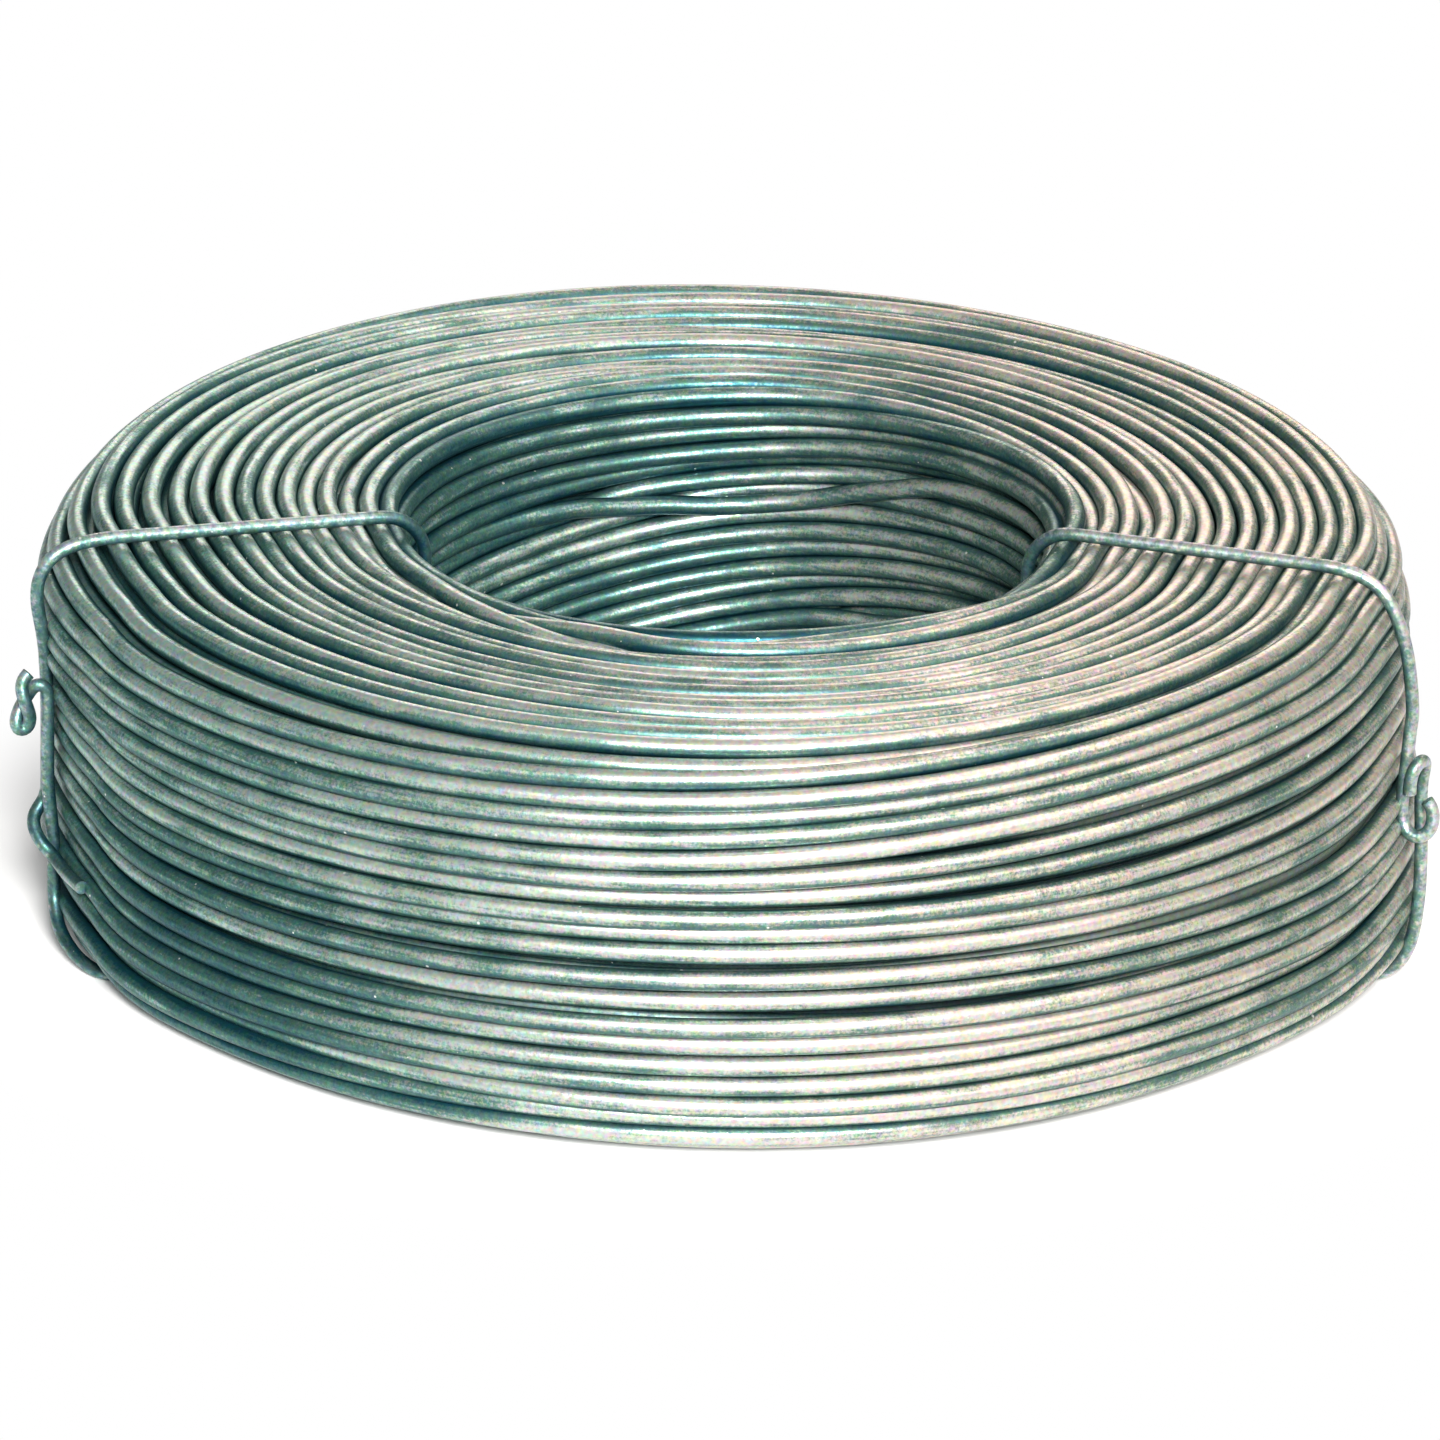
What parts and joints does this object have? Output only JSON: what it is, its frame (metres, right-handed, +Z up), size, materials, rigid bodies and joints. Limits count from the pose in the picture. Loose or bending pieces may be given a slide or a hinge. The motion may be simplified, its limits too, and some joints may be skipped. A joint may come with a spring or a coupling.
{
  "type": "coil of galvanized wire",
  "caption": "Round coil of bare galvanized wire lying on its end, its turns showing on every face, held by short tie wires whose ends are twisted together.",
  "frame": {"origin": "centre of the coil's footprint, on the floor that it lies on", "axes": "+Z up along the coil's own axis, +X to the right of the view in which the two ties stand left and right, -Y to the front, where the ties lean to"},
  "size_m": [0.1161, 0.112, 0.0362],
  "materials": {
    "galvanized_wire": "hot-dip galvanized drawn wire, semi-bright zinc with fine die lines and light grime in the grooves",
    "tie_wire": "galvanized tie wire, a little duller than the coil"
  },
  "bodies": {
    "root": {"wire_coil": "galvanized_wire", "left_tie": "tie_wire", "right_tie": "tie_wire"}
  },
  "joints": []
}
